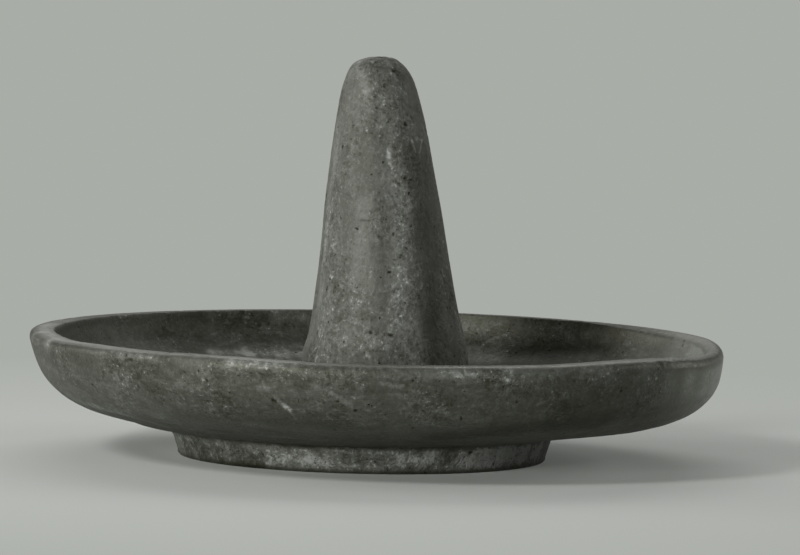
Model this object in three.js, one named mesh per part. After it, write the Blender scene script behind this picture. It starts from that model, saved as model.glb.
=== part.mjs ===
import * as THREE from 'three';

// A shallow stone bowl on a low round foot, with the loose conical pestle that stands in it.
// Both were pecked and ground by hand from dense dark volcanic rock, each from one block.
// Lengths are millimetres and +Z is up. The origin is on the ground under the middle of the
// rim, the front faces -Y, and +X is on the right when the bowl is seen from the front.

// Rim and lip of the bowl
const RIM_HALF_WIDTH = 175;
const RIM_HALF_DEPTH = 174;
const RIM_HEIGHT = 61.6;
const LIP_WIDTH = 10.6;
const LIP_OUTER_ROUNDING = 4.6;
const LIP_INNER_ROUNDING = 1.2;

// Outside of the bowl, from the foot up
const FOOT_BASE_RADIUS = 92.4;
const FOOT_TAPER = 2.7;
const FOOT_HEIGHT = 10.6;
const FOOT_EDGE_ROUNDING = 2.2;
const FOOT_HOLLOW_RADIUS = 70;
const FOOT_HOLLOW_DEPTH = 1.8;
const COVE_WIDTH = 11.8;
const COVE_HEIGHT = 4.2;
const UNDERSIDE_SLOPE = THREE.MathUtils.degToRad(10.9);
const WALL_BATTER = THREE.MathUtils.degToRad(6.4);

// Share of its run for which a curve keeps to the direction that it starts in
const UNDERSIDE_FULLNESS = 0.79;
const WALL_FULLNESS = 0.66;
const INNER_WALL_FULLNESS = 0.6;
const FLOOR_FULLNESS = 0.62;

// Inside of the bowl
const FLOOR_HEIGHT = 28.7;
const FLOOR_RADIUS = 80;

// The bowl is not quite true: its wall is fuller on the right, its foot is set to the left
const WALL_OFFSET = 3.6;
const FOOT_OFFSET = -5.2;
const OFFSET_BLEND_HEIGHT = 5.5;

// Pestle, from its working end up
const PESTLE_HEIGHT = 173.5;
const SEAT_RADIUS = 29;
const BUTT_RADIUS = 41.6;
const BUTT_HEIGHT = 19;
const FLARE_RADIUS = 36.6;
const FLARE_HEIGHT = 48.6;
const CROWN_RADIUS = 18.8;
const CROWN_DEPTH = 16.1;
const SHAFT_SLOPE = 0.16;
const SHOULDER_SLOPE = 0.27;

// The pestle's working end is not square to its axis, so it stands leaning to the left
const PESTLE_BASE_OFFSET = 6.7;
const PESTLE_LEAN = 0.05;
const SEAT_CLEARANCE = 0.1;

// Fineness of the meshes
const BOWL_SIDES = 84;
const PESTLE_SIDES = 56;

// A section is drawn as points (distance from the axis, height), from axis to axis.
class Section {
  constructor(radius, height) {
    this.points = [new THREE.Vector2(radius, height)];
  }

  get end() {
    return this.points[this.points.length - 1];
  }

  line(radius, height) {
    this.points.push(new THREE.Vector2(radius, height));
    return this;
  }

  // A curve that leaves its start and reaches its end through one shared corner
  round(corner, end, steps) {
    const curve = new THREE.QuadraticBezierCurve(this.end, corner, end);
    this.points.push(...curve.getPoints(steps).slice(1));
    return this;
  }

  // A curve with a pull at each end
  sweep(firstPull, lastPull, end, steps) {
    const curve = new THREE.CubicBezierCurve(this.end, firstPull, lastPull, end);
    this.points.push(...curve.getPoints(steps).slice(1));
    return this;
  }
}

function point(radius, height) {
  return new THREE.Vector2(radius, height);
}

function between(from, to, share) {
  return from + (to - from) * share;
}

// Turns a section about the upright axis
function revolve(section, sides) {
  const geometry = new THREE.LatheGeometry(section.points, sides);
  geometry.rotateX(Math.PI / 2);
  return geometry;
}

// Moves each point of a mesh sideways by an amount that depends on its height
function offsetByHeight(geometry, offset) {
  const position = geometry.attributes.position;
  for (let i = 0; i < position.count; i += 1) {
    position.setX(i, position.getX(i) + offset(position.getZ(i)));
  }
  return geometry;
}

const undersideRadius = FOOT_BASE_RADIUS + FOOT_TAPER + COVE_WIDTH;
const undersideHeight = FOOT_HEIGHT + COVE_HEIGHT;
const innerRadius = RIM_HALF_WIDTH - LIP_WIDTH;

// Foot: a shallow pecked hollow, the flat ring that the bowl rests on, and a side that
// spreads a little upwards into the cove under the bowl
function drawFoot() {
  const section = new Section(0, FOOT_HOLLOW_DEPTH);
  section.round(point(FOOT_HOLLOW_RADIUS / 2, FOOT_HOLLOW_DEPTH), point(FOOT_HOLLOW_RADIUS, 0), 4);
  section.line(FOOT_BASE_RADIUS - FOOT_EDGE_ROUNDING, 0);
  section.round(point(FOOT_BASE_RADIUS, 0), point(FOOT_BASE_RADIUS, FOOT_EDGE_ROUNDING), 3);
  section.line(FOOT_BASE_RADIUS + FOOT_TAPER, FOOT_HEIGHT);
  section.round(
    point(FOOT_BASE_RADIUS + FOOT_TAPER, undersideHeight),
    point(undersideRadius, undersideHeight),
    4,
  );
  return section;
}

// Outside wall: a shallow underside that sweeps up in one curve to the widest line, and
// still leans out a little where it meets the lip
function drawWall(section) {
  const widestHeight = RIM_HEIGHT - LIP_OUTER_ROUNDING;
  const reach = (RIM_HALF_WIDTH - undersideRadius) * UNDERSIDE_FULLNESS;
  const drop = (widestHeight - undersideHeight) * WALL_FULLNESS;
  return section.sweep(
    point(undersideRadius + reach, undersideHeight + reach * Math.tan(UNDERSIDE_SLOPE)),
    point(RIM_HALF_WIDTH - drop * Math.tan(WALL_BATTER), widestHeight - drop),
    point(RIM_HALF_WIDTH, widestHeight),
    14,
  );
}

// Lip: nearly flat on top, well rounded outside and crisp inside
function drawLip(section) {
  section.round(
    point(RIM_HALF_WIDTH, RIM_HEIGHT),
    point(RIM_HALF_WIDTH - LIP_OUTER_ROUNDING, RIM_HEIGHT),
    4,
  );
  section.line(innerRadius + LIP_INNER_ROUNDING, RIM_HEIGHT);
  section.round(
    point(innerRadius, RIM_HEIGHT),
    point(innerRadius, RIM_HEIGHT - LIP_INNER_ROUNDING),
    2,
  );
  return section;
}

// Inside: a steep wall that runs in one curve into the flat floor
function drawInside(section) {
  const top = section.end.y;
  section.sweep(
    point(innerRadius, between(top, FLOOR_HEIGHT, INNER_WALL_FULLNESS)),
    point(between(FLOOR_RADIUS, innerRadius, FLOOR_FULLNESS), FLOOR_HEIGHT),
    point(FLOOR_RADIUS, FLOOR_HEIGHT),
    12,
  );
  section.line(0, FLOOR_HEIGHT);
  return section;
}

// How far the bowl stands off to one side at a height
function bowlOffset(height) {
  const clamp = THREE.MathUtils.clamp;
  const down = clamp((RIM_HEIGHT - height) / (RIM_HEIGHT - undersideHeight), 0, 1);
  const wall = WALL_OFFSET * Math.sin(down * Math.PI / 2);
  const blendTop = undersideHeight + OFFSET_BLEND_HEIGHT;
  const share = THREE.MathUtils.smoothstep(height, undersideHeight, blendTop);
  return between(FOOT_OFFSET, wall, share);
}

function makeBowl() {
  const section = drawInside(drawLip(drawWall(drawFoot())));
  const geometry = revolve(section, BOWL_SIDES);
  geometry.scale(1, RIM_HALF_DEPTH / RIM_HALF_WIDTH, 1);
  offsetByHeight(geometry, bowlOffset);
  const stone = new THREE.MeshStandardMaterial({ color: 0x4c4c44, roughness: 0.55, metalness: 0 });
  const bowl = new THREE.Mesh(geometry, stone);
  bowl.name = 'footed_bowl';
  return bowl;
}

// Working end of the pestle: a flat seat, a well rounded butt and a short flare above it
function drawButt() {
  const section = new Section(0, 0);
  section.line(SEAT_RADIUS, 0);
  section.sweep(
    point(between(SEAT_RADIUS, BUTT_RADIUS, 0.55), 0),
    point(BUTT_RADIUS, BUTT_HEIGHT * 0.45),
    point(BUTT_RADIUS, BUTT_HEIGHT),
    7,
  );
  const flare = (FLARE_HEIGHT - BUTT_HEIGHT) / 3;
  section.sweep(
    point(BUTT_RADIUS, BUTT_HEIGHT + flare),
    point(FLARE_RADIUS + SHAFT_SLOPE * flare, FLARE_HEIGHT - flare),
    point(FLARE_RADIUS, FLARE_HEIGHT),
    6,
  );
  return section;
}

// Shaft and crown: a straight taper that draws in towards a low domed top
function drawShaft(section) {
  const crownHeight = PESTLE_HEIGHT - CROWN_DEPTH;
  const shaft = crownHeight - FLARE_HEIGHT;
  section.sweep(
    point(FLARE_RADIUS - SHAFT_SLOPE * shaft / 3, FLARE_HEIGHT + shaft / 3),
    point(CROWN_RADIUS + SHOULDER_SLOPE * shaft / 4, crownHeight - shaft / 4),
    point(CROWN_RADIUS, crownHeight),
    8,
  );
  const rise = CROWN_DEPTH * 2 / 3;
  section.sweep(
    point(CROWN_RADIUS - SHOULDER_SLOPE * rise, crownHeight + rise),
    point(CROWN_RADIUS / 2, PESTLE_HEIGHT),
    point(0, PESTLE_HEIGHT),
    8,
  );
  return section;
}

function makePestle() {
  const geometry = revolve(drawShaft(drawButt()), PESTLE_SIDES);
  offsetByHeight(geometry, (height) => PESTLE_BASE_OFFSET - PESTLE_LEAN * height);
  const stone = new THREE.MeshStandardMaterial({ color: 0x5e5e57, roughness: 0.7, metalness: 0 });
  const pestle = new THREE.Mesh(geometry, stone);
  pestle.name = 'conical_pestle';
  pestle.position.z = FLOOR_HEIGHT + SEAT_CLEARANCE;
  return pestle;
}

const bowlAndPestle = new THREE.Group();
bowlAndPestle.add(makeBowl(), makePestle());

export default bowlAndPestle;
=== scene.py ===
# %% [markdown]
# # A stone bowl and its pestle
# The object is a shallow footed bowl with a conical pestle standing in it. Both were pecked
# and ground by hand from dense dark volcanic rock, each from one block. The construction
# model already holds their sizes, their places and the way in which the pestle lifts out.
# This lesson gives them the surface that hand tools leave on stone, and it starts by loading
# that model, which stays fixed from here on.

# %% Load the construction model
import math
import random

import bmesh
import bpy
from mathutils import Matrix, Vector, noise
from mathutils.bvhtree import BVHTree
from mathutils.geometry import interpolate_bezier
from mathutils.kdtree import KDTree


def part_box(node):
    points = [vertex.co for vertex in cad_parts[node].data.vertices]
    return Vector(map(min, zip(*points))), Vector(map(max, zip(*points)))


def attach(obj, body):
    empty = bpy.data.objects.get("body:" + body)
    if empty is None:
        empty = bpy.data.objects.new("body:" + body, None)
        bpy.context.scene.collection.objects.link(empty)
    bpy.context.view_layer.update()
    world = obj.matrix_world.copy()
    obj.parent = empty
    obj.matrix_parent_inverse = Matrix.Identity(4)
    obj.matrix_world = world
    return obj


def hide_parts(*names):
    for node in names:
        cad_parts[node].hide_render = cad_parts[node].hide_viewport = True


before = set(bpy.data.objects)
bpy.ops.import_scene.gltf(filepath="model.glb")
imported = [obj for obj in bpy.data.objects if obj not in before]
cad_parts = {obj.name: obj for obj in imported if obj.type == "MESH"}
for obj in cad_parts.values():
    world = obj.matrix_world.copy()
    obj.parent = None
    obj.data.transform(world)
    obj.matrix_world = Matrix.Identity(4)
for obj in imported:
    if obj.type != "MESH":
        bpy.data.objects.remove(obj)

scene = bpy.context.scene
MM = 0.001
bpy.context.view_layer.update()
bowl_low, bowl_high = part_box("footed_bowl")
pestle_low, pestle_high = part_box("conical_pestle")
print("bowl", [round(v / MM, 1) for v in bowl_high - bowl_low], "mm")
print("pestle", [round(v / MM, 1) for v in pestle_high - pestle_low], "mm")

# %% [markdown]
# ## The camera
# The photograph was taken from far away, a few degrees above the rim, with a long lens, and
# the picture is turned a little, so the right side hangs. A camera could be placed by eye,
# but here the fit of the rim's ellipse gives its height and distance. The camera is built
# first, because later steps ask it where a mark in the photograph lies on the stone.

# %% Camera
PHOTO_SIZE = Vector((800, 555))
RIM_CENTRE_PIXEL = Vector((375.9, 335.0))
MM_PER_PIXEL = 0.5048
CAMERA_DISTANCE = 3.1555
CAMERA_ELEVATION = 0.0778
CAMERA_ROLL = 0.0236
SENSOR_WIDTH = 36.0
CAMERA_REACH = 40.0

rim_centre = Vector((0, 0, bowl_high.z))
focal_pixels = CAMERA_DISTANCE / (MM_PER_PIXEL * MM)
forward = Vector((0, math.cos(CAMERA_ELEVATION), -math.sin(CAMERA_ELEVATION)))
level_up = Vector((0, math.sin(CAMERA_ELEVATION), math.cos(CAMERA_ELEVATION)))
level_right = Vector((1, 0, 0))
roll = Matrix.Rotation(CAMERA_ROLL, 3, -forward)

from_middle = RIM_CENTRE_PIXEL - PHOTO_SIZE / 2
aim = forward - (roll @ level_right) * (from_middle.x / focal_pixels)
aim += (roll @ level_up) * (from_middle.y / focal_pixels)
aim.normalize()
camera_right = roll @ level_right
camera_right = (camera_right - aim * camera_right.dot(aim)).normalized()
camera_up = camera_right.cross(aim)

camera_data = bpy.data.cameras.new("photo_camera")
camera_data.sensor_width = SENSOR_WIDTH
camera_data.lens = SENSOR_WIDTH * focal_pixels / PHOTO_SIZE.x
camera_data.clip_end = CAMERA_REACH
camera = bpy.data.objects.new("photo_camera", camera_data)
scene.collection.objects.link(camera)
turn = Matrix((camera_right, camera_up, -aim)).transposed().to_4x4()
camera.matrix_world = Matrix.Translation(rim_centre - forward * CAMERA_DISTANCE) @ turn
scene.camera = camera
print("lens", round(camera_data.lens), "mm, from", CAMERA_DISTANCE, "m")


# %% From the object to the photograph, and back
def pixel_of(place):
    """Where a point of the object falls in the photograph."""
    ray = Vector(place) - camera.matrix_world.translation
    depth = ray.dot(aim)
    across = ray.dot(camera_right) / depth * focal_pixels
    upward = ray.dot(camera_up) / depth * focal_pixels
    return PHOTO_SIZE / 2 + Vector((across, -upward))


def ray_through(pixel):
    """The direction in which the camera looks through a pixel of the photograph."""
    offset = (Vector(pixel) - PHOTO_SIZE / 2) / focal_pixels
    return (aim + camera_right * offset.x - camera_up * offset.y).normalized()


print("rim centre at pixel", [round(v, 1) for v in pixel_of(rim_centre)])
pestle_top = Vector((pestle_low.x + pestle_high.x, 0, 2 * pestle_high.z)) / 2
print("pestle top at pixel", [round(v, 1) for v in pixel_of(pestle_top)])

# %% [markdown]
# ## The section of the bowl
# A round bowl is easiest to draw as one half section that is then turned about the upright
# axis. Modelling it from a sphere or a cylinder would leave the foot, the cove above it and
# the crisp inner edge of the lip to be cut in afterwards. The section is a chain of short
# Bezier curves with the same sizes as the construction model, in millimetres: the hollow
# under the foot, the flat ring it rests on, the cove, the wall, the lip, and the inside.

# %% Sizes of the bowl, in millimetres
RIM_HALF_WIDTH = 175.0
RIM_HALF_DEPTH = 174.0
RIM_HEIGHT = bowl_high.z / MM
LIP_WIDTH = 10.6
LIP_OUTER_ROUNDING = 4.6
LIP_INNER_ROUNDING = 1.2
FOOT_BASE_RADIUS = 92.4
FOOT_TAPER = 2.7
FOOT_HEIGHT = 10.6
FOOT_EDGE_ROUNDING = 2.2
FOOT_HOLLOW_RADIUS = 70.0
FOOT_HOLLOW_DEPTH = 1.8
COVE_WIDTH = 11.8
COVE_HEIGHT = 4.2
UNDERSIDE_SLOPE = math.radians(10.9)
WALL_BATTER = math.radians(6.4)
UNDERSIDE_FULLNESS = 0.79
WALL_FULLNESS = 0.66
INNER_WALL_FULLNESS = 0.6
FLOOR_FULLNESS = 0.62
FLOOR_HEIGHT = 28.7
FLOOR_RADIUS = 80.0
WALL_OFFSET = 3.6
FOOT_OFFSET = -5.2
OFFSET_BLEND_HEIGHT = 5.5

UNDERSIDE_RADIUS = FOOT_BASE_RADIUS + FOOT_TAPER + COVE_WIDTH
UNDERSIDE_HEIGHT = FOOT_HEIGHT + COVE_HEIGHT
INNER_RADIUS = RIM_HALF_WIDTH - LIP_WIDTH
print("cove ends", round(UNDERSIDE_RADIUS, 1), "mm out and", round(UNDERSIDE_HEIGHT, 1), "mm up")


# %% Draw a section, point by point
def between(start, end, share):
    return start + (end - start) * share


def at(radius, height):
    """A point of a section: so far from the axis, and so high."""
    return Vector((radius, 0, height))


def section_of(start, *stretches):
    """Draws a section stretch by stretch. Each has a number of steps, then the pulls of its
    curve, and its end. One pull is a corner that the curve never quite reaches, and a stretch
    without one is straight."""
    section = [start]
    for steps, *pulls, end in stretches:
        start = section[-1]
        if not pulls:
            section.extend(start.lerp(end, (i + 1) / steps) for i in range(steps))
            continue
        if len(pulls) == 1:
            pulls = [point.lerp(pulls[0], 2 / 3) for point in (start, end)]
        section.extend(interpolate_bezier(start, *pulls, end, steps + 1)[1:])
    return section


corner = section_of(at(0, 0), (3, at(10, 0), at(10, 10)))
print("a rounded corner:", [(round(p.x, 1), round(p.z, 1)) for p in corner])

# %% Section of the bowl
def bowl_section():
    widest = RIM_HEIGHT - LIP_OUTER_ROUNDING
    reach = (RIM_HALF_WIDTH - UNDERSIDE_RADIUS) * UNDERSIDE_FULLNESS
    drop = (widest - UNDERSIDE_HEIGHT) * WALL_FULLNESS
    wall_start = at(UNDERSIDE_RADIUS + reach, UNDERSIDE_HEIGHT + reach * math.tan(UNDERSIDE_SLOPE))
    wall_end = at(RIM_HALF_WIDTH - drop * math.tan(WALL_BATTER), widest - drop)
    foot_side = FOOT_BASE_RADIUS + FOOT_TAPER
    inner_top = RIM_HEIGHT - LIP_INNER_ROUNDING
    inner_pull = at(INNER_RADIUS, between(inner_top, FLOOR_HEIGHT, INNER_WALL_FULLNESS))
    floor_pull = at(between(FLOOR_RADIUS, INNER_RADIUS, FLOOR_FULLNESS), FLOOR_HEIGHT)
    return section_of(
        at(0, FOOT_HOLLOW_DEPTH),
        (12, at(FOOT_HOLLOW_RADIUS / 2, FOOT_HOLLOW_DEPTH), at(FOOT_HOLLOW_RADIUS, 0)),
        (5, at(FOOT_BASE_RADIUS - FOOT_EDGE_ROUNDING, 0)),
        (3, at(FOOT_BASE_RADIUS, 0), at(FOOT_BASE_RADIUS, FOOT_EDGE_ROUNDING)),
        (6, at(foot_side, FOOT_HEIGHT)),
        (7, at(foot_side, UNDERSIDE_HEIGHT), at(UNDERSIDE_RADIUS, UNDERSIDE_HEIGHT)),
        (56, wall_start, wall_end, at(RIM_HALF_WIDTH, widest)),
        (6, at(RIM_HALF_WIDTH, RIM_HEIGHT), at(RIM_HALF_WIDTH - LIP_OUTER_ROUNDING, RIM_HEIGHT)),
        (4, at(INNER_RADIUS + LIP_INNER_ROUNDING, RIM_HEIGHT)),
        (3, at(INNER_RADIUS, RIM_HEIGHT), at(INNER_RADIUS, inner_top)),
        (36, inner_pull, floor_pull, at(FLOOR_RADIUS, FLOOR_HEIGHT)),
        (20, at(0, FLOOR_HEIGHT)),
    )


print("bowl section:", len(bowl_section()), "points")

# %% [markdown]
# ## From section to solid
# The section becomes vertices and edges. One full spin would close the solid too, but on so
# fine a mesh it is slow, so the section is spun through an eighth of a turn, and the result
# is copied and turned three times. The seams and the points on the axis are merged at the
# end. The object sits at the origin with its place in its mesh, as the construction parts
# do. The real bowl isn't quite true, so each height is then moved sideways by the
# construction's amount: the wall is fuller on the right and the foot is set to the left.

# %% Turn a section about the upright axis
MERGE_DISTANCE = 0.001


def in_order(solid):
    """Makes a solid anew, because spinning leaves its edges in another order each run."""
    solid.verts.index_update()
    corners = sorted([vertex.index for vertex in face.verts] for face in solid.faces)
    fresh = bmesh.new()
    verts = [fresh.verts.new(vertex.co) for vertex in solid.verts]
    for indices in corners:
        fresh.faces.new([verts[index] for index in indices])
    solid.free()
    fresh.verts.index_update()
    fresh.normal_update()
    return fresh


def turned(section, steps):
    """Spins a section through an eighth of a turn, then doubles the result three times."""
    solid = bmesh.new()
    chain = [solid.verts.new(p) for p in section]
    for first, second in zip(chain, chain[1:]):
        solid.edges.new((first, second))
    angle = math.tau / 8
    bmesh.ops.spin(
        solid,
        geom=solid.verts[:] + solid.edges[:],
        cent=(0, 0, 0),
        axis=(0, 0, 1),
        angle=angle,
        steps=steps // 8,
        use_merge=False,
    )
    for doubling in range(3):
        whole = solid.verts[:] + solid.edges[:] + solid.faces[:]
        copy = bmesh.ops.duplicate(solid, geom=whole)["geom"]
        moved = [part for part in copy if isinstance(part, bmesh.types.BMVert)]
        bmesh.ops.rotate(solid, verts=moved, cent=(0, 0, 0), matrix=Matrix.Rotation(angle, 3, "Z"))
        angle *= 2
    bmesh.ops.remove_doubles(solid, verts=solid.verts[:], dist=MERGE_DISTANCE)
    bmesh.ops.recalc_face_normals(solid, faces=solid.faces[:])
    return in_order(solid)


def smoothstep(value, low, high):
    share = min(max((value - low) / (high - low), 0), 1)
    return share * share * (3 - 2 * share)


def fade(value, low, high):
    return 1 - smoothstep(value, low, high)


def bowl_offset(height):
    """How far the bowl stands off to one side at a height, in millimetres."""
    down = min(max((RIM_HEIGHT - height) / (RIM_HEIGHT - UNDERSIDE_HEIGHT), 0), 1)
    wall = WALL_OFFSET * math.sin(down * math.pi / 2)
    share = smoothstep(height, UNDERSIDE_HEIGHT, UNDERSIDE_HEIGHT + OFFSET_BLEND_HEIGHT)
    return between(FOOT_OFFSET, wall, share)


BOWL_STEPS = 592
bowl_mesh = turned(bowl_section(), BOWL_STEPS)
for vertex in bowl_mesh.verts:
    vertex.co.y *= RIM_HALF_DEPTH / RIM_HALF_WIDTH
    vertex.co.x += bowl_offset(vertex.co.z)
print("bowl:", len(bowl_mesh.verts), "vertices,", len(bowl_mesh.faces), "faces")

# %% [markdown]
# ## The section of the pestle
# The pestle is a second turned solid: a flat seat, a well rounded butt that worn use leaves,
# a short flare, a long straight taper and a low domed crown. Its working end isn't square to
# its axis, so it stands leaning: each height is moved a little further to the left.

# %% Sizes of the pestle, in millimetres
PESTLE_FOOT, PESTLE_TOP = pestle_low.z / MM, pestle_high.z / MM
PESTLE_HEIGHT = (pestle_high.z - pestle_low.z) / MM
SEAT_RADIUS = 29.0
BUTT_RADIUS = 41.6
BUTT_HEIGHT = 19.0
BUTT_FULLNESS = 0.55
BUTT_PULL = 0.45
FLARE_RADIUS = 36.6
FLARE_HEIGHT = 48.6
CROWN_RADIUS = 18.8
CROWN_DEPTH = 16.1
SHAFT_SLOPE = 0.16
SHOULDER_SLOPE = 0.27
PESTLE_BASE_OFFSET = 6.7
PESTLE_LEAN = 0.05
print("pestle leans", round(math.degrees(math.atan(PESTLE_LEAN)), 1), "degrees")

# %% Section of the pestle
def pestle_section():
    flare = (FLARE_HEIGHT - BUTT_HEIGHT) / 3
    flare_pull = at(FLARE_RADIUS + SHAFT_SLOPE * flare, FLARE_HEIGHT - flare)
    crown_height = PESTLE_HEIGHT - CROWN_DEPTH
    shaft = crown_height - FLARE_HEIGHT
    shaft_start = at(FLARE_RADIUS - SHAFT_SLOPE * shaft / 3, FLARE_HEIGHT + shaft / 3)
    shaft_end = at(CROWN_RADIUS + SHOULDER_SLOPE * shaft / 4, crown_height - shaft / 4)
    rise = CROWN_DEPTH * 2 / 3
    shoulder = at(CROWN_RADIUS - SHOULDER_SLOPE * rise, crown_height + rise)
    butt_start = at(between(SEAT_RADIUS, BUTT_RADIUS, BUTT_FULLNESS), 0)
    butt_end = at(BUTT_RADIUS, BUTT_HEIGHT * BUTT_PULL)
    return section_of(
        at(0, 0),
        (12, at(SEAT_RADIUS, 0)),
        (28, butt_start, butt_end, at(BUTT_RADIUS, BUTT_HEIGHT)),
        (40, at(BUTT_RADIUS, BUTT_HEIGHT + flare), flare_pull, at(FLARE_RADIUS, FLARE_HEIGHT)),
        (140, shaft_start, shaft_end, at(CROWN_RADIUS, crown_height)),
        (42, shoulder, at(CROWN_RADIUS / 2, PESTLE_HEIGHT), at(0, PESTLE_HEIGHT)),
    )


PESTLE_STEPS = 360
pestle_mesh = turned(pestle_section(), PESTLE_STEPS)
for vertex in pestle_mesh.verts:
    vertex.co.x += PESTLE_BASE_OFFSET - PESTLE_LEAN * vertex.co.z
    vertex.co.z += PESTLE_FOOT
print("pestle:", len(pestle_mesh.verts), "vertices,", len(pestle_mesh.faces), "faces")

# %% [markdown]
# ## Where the photograph shows a mark
# Old stone carries scars, chips and stains, and a likeness depends on the large ones being
# in the right place. They could be guessed in the object's own sizes, but it is surer to
# send a ray from the camera through the pixel where a mark is seen, and to work where the
# ray meets the stone. Each mark is a short run between two pixels, with a half width in
# millimetres and a tone that is above zero where the stone is paler. Scars and pits have a
# depth in millimetres too.

# %% Scars and pits
# name: (first pixel, last pixel, half width, tone, depth)
BOWL_MARKS = {
    "long scar, dotted start": ((257, 372), (263, 382), 0.9, 0.4, 0.05),
    "long scar, upper end": ((265, 387), (275, 397), 2, 0.4, 0.1),
    "long scar, middle": ((278, 401), (286, 407), 1.8, 0.8, 0.2),
    "long scar, lower end": ((284, 407), (289, 410), 2.2, 0.9, 0.25),
    "long scar, tail": ((289, 411), (295, 419), 1.2, 0.6, 0.1),
    "arc beside the long scar": ((291, 410), (308, 409), 0.8, 0.35),
    "end of the arc": ((308, 409), (322, 403), 0.8, 0.3),
    "second scar": ((313, 385), (330, 392), 2.6, 0.4),
    "second scar, lower end": ((332, 393), (351, 407), 1.8, 0.4, 0.08),
    "fleck by second scar": ((353, 397), (354, 398), 1, 0.8, 0.1),
    "scrape right of middle": ((381, 383), (402, 387), 1.9, 0.55, 0.12),
    "speckled edge": ((450, 370), (486, 374), 3, 0.4, 0.06),
    "speckled edge, right": ((488, 375), (503, 377), 2.2, 0.5, 0.06),
    "scratched wall": ((538, 405), (556, 398), 1.2, 0.5, 0.08),
    "chip on left lip": ((112, 350), (150, 356), 1.8, 0.5, 0.3),
    "scratches inside": ((212, 334), (222, 331), 1, 0.5),
    "fleck inside": ((243, 316), (248, 318), 1.2, 0.6, 0.1),
    # The pits' dark tones, here and on the far wall, are painted shade in their hollows, which are
    # also pressed in
    "pit by long scar": ((273, 401), (275, 402), 1.3, -1.8, 0.5),
    "pit by second scar": ((355, 411), (356, 411), 1, -2.4, 0.5),
    "small pit": ((337, 402), (338, 402), 0.8, -1.5, 0.3),
    "pit on the right": ((621, 391), (622, 391), 0.9, -2, 0.4),
    "pit on the foot": ((471, 453), (472, 453), 0.9, -1.8, 0.4),
    "pit under left lip": ((127, 359), (131, 359), 1.2, -1.5, 0.4),
    # The crease under the worn lip has a little depth, and its dark tone is painted shade under the
    # lip
    "crease below the worn lip, with painted shade": ((662, 363), (694, 359), 2.8, -0.7, 0.12),
    "end of the crease, with painted shade": ((694, 359), (714, 354), 2, -0.3, 0.15),
    "pit on far wall": ((549, 350), (550, 350), 0.9, -1.2, 0.3),
}
PESTLE_MARKS = {
    "tall scar": ((388, 150), (389, 157), 1.8, 1, 0.2),
    "scar below": ((390, 163), (392, 167), 1.1, 0.8, 0.15),
    "ring of scratches, left": ((412, 141), (416, 152), 1.1, 0.95, 0.1),
    "ring of scratches, middle": ((416, 138), (422, 140), 0.9, 0.95, 0.1),
    "ring of scratches, right": ((422, 141), (420, 152), 1, 0.95, 0.1),
    "fleck": ((366, 130), (367, 131), 0.9, 0.9),
    "second fleck": ((381, 126), (382, 127), 0.9, 0.9),
    "third fleck": ((384, 101), (385, 102), 0.9, 0.8),
    "low fleck": ((367, 355), (369, 357), 1.3, 1),
    "fleck by the edge": ((330, 276), (332, 277), 1.2, 1),
    "middle fleck": ((391, 284), (393, 286), 1.2, 0.7),
    "bottom fleck": ((391, 338), (392, 339), 1, 0.9),
    "pocked patch": ((399, 224), (405, 228), 2.2, 0.45, 0.1),
    "hairline": ((358, 220), (370, 221), 0.5, -0.6, 0.1),
    "crack": ((402, 177), (412, 180), 0.6, -1.4, 0.3),
    # The pits' dark tones are painted shade in their hollows, which are also pressed in
    "black pit": ((389, 272), (390, 272), 0.75, -2.6, 0.6),
    "upper pit": ((393, 234), (394, 234), 0.7, -1.6, 0.4),
    "low pit, left": ((370, 332), (371, 333), 0.8, -2.2, 0.5),
    "low pit, right": ((389, 334), (391, 335), 0.8, -2.4, 0.5),
    "shoulder pit": ((411, 117), (412, 118), 1.1, -0.7, 0.3),
    "left pit": ((352, 126), (353, 126), 0.7, -1.8, 0.4),
    "crown pit": ((393, 71), (394, 71), 0.8, -1.4, 0.35),
}

print("scars and pits:", len(BOWL_MARKS), "on the bowl,", len(PESTLE_MARKS), "on the pestle")
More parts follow.
